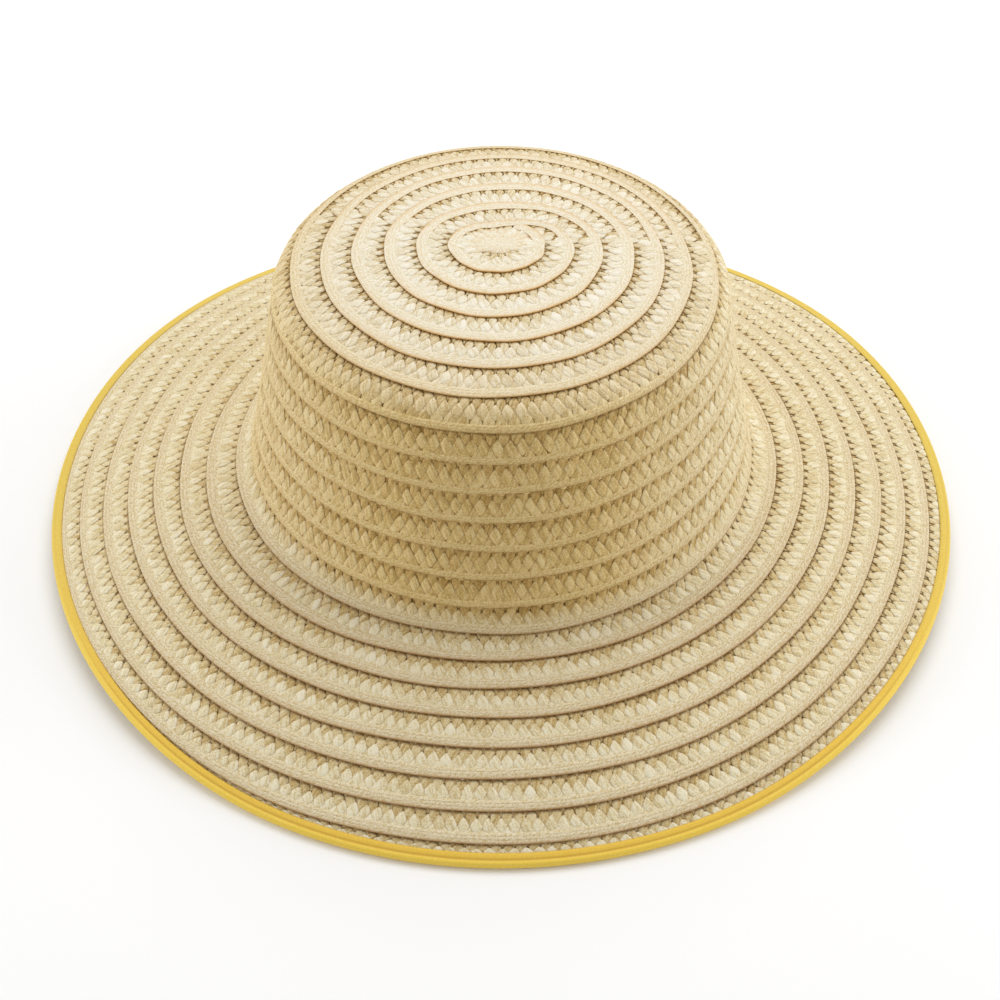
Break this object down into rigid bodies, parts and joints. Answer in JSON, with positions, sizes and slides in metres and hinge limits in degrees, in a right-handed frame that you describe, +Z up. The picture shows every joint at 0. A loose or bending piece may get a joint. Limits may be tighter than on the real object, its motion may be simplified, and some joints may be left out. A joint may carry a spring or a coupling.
{
  "type": "wide brim straw hat",
  "caption": "Sun hat of straw plait sewn in a spiral, with a round flat-topped crown, a wide sloping brim and a folded cloth tape binding its edge.",
  "frame": {"origin": "on the table, under the middle of the crown, in the plane that the brim's edge rests on", "axes": "+Z up along the crown's axis, -Y towards the front, +X to the right as seen from the front"},
  "size_m": [0.34, 0.34, 0.1179],
  "materials": {
    "straw_plait": "dry natural straw plait with a faint sheen",
    "binding_tape": "matt yellow woven tape"
  },
  "bodies": {
    "root": {"crown_tip": "straw_plait", "crown_side": "straw_plait", "brim": "straw_plait", "edge_binding": "binding_tape"}
  },
  "joints": []
}
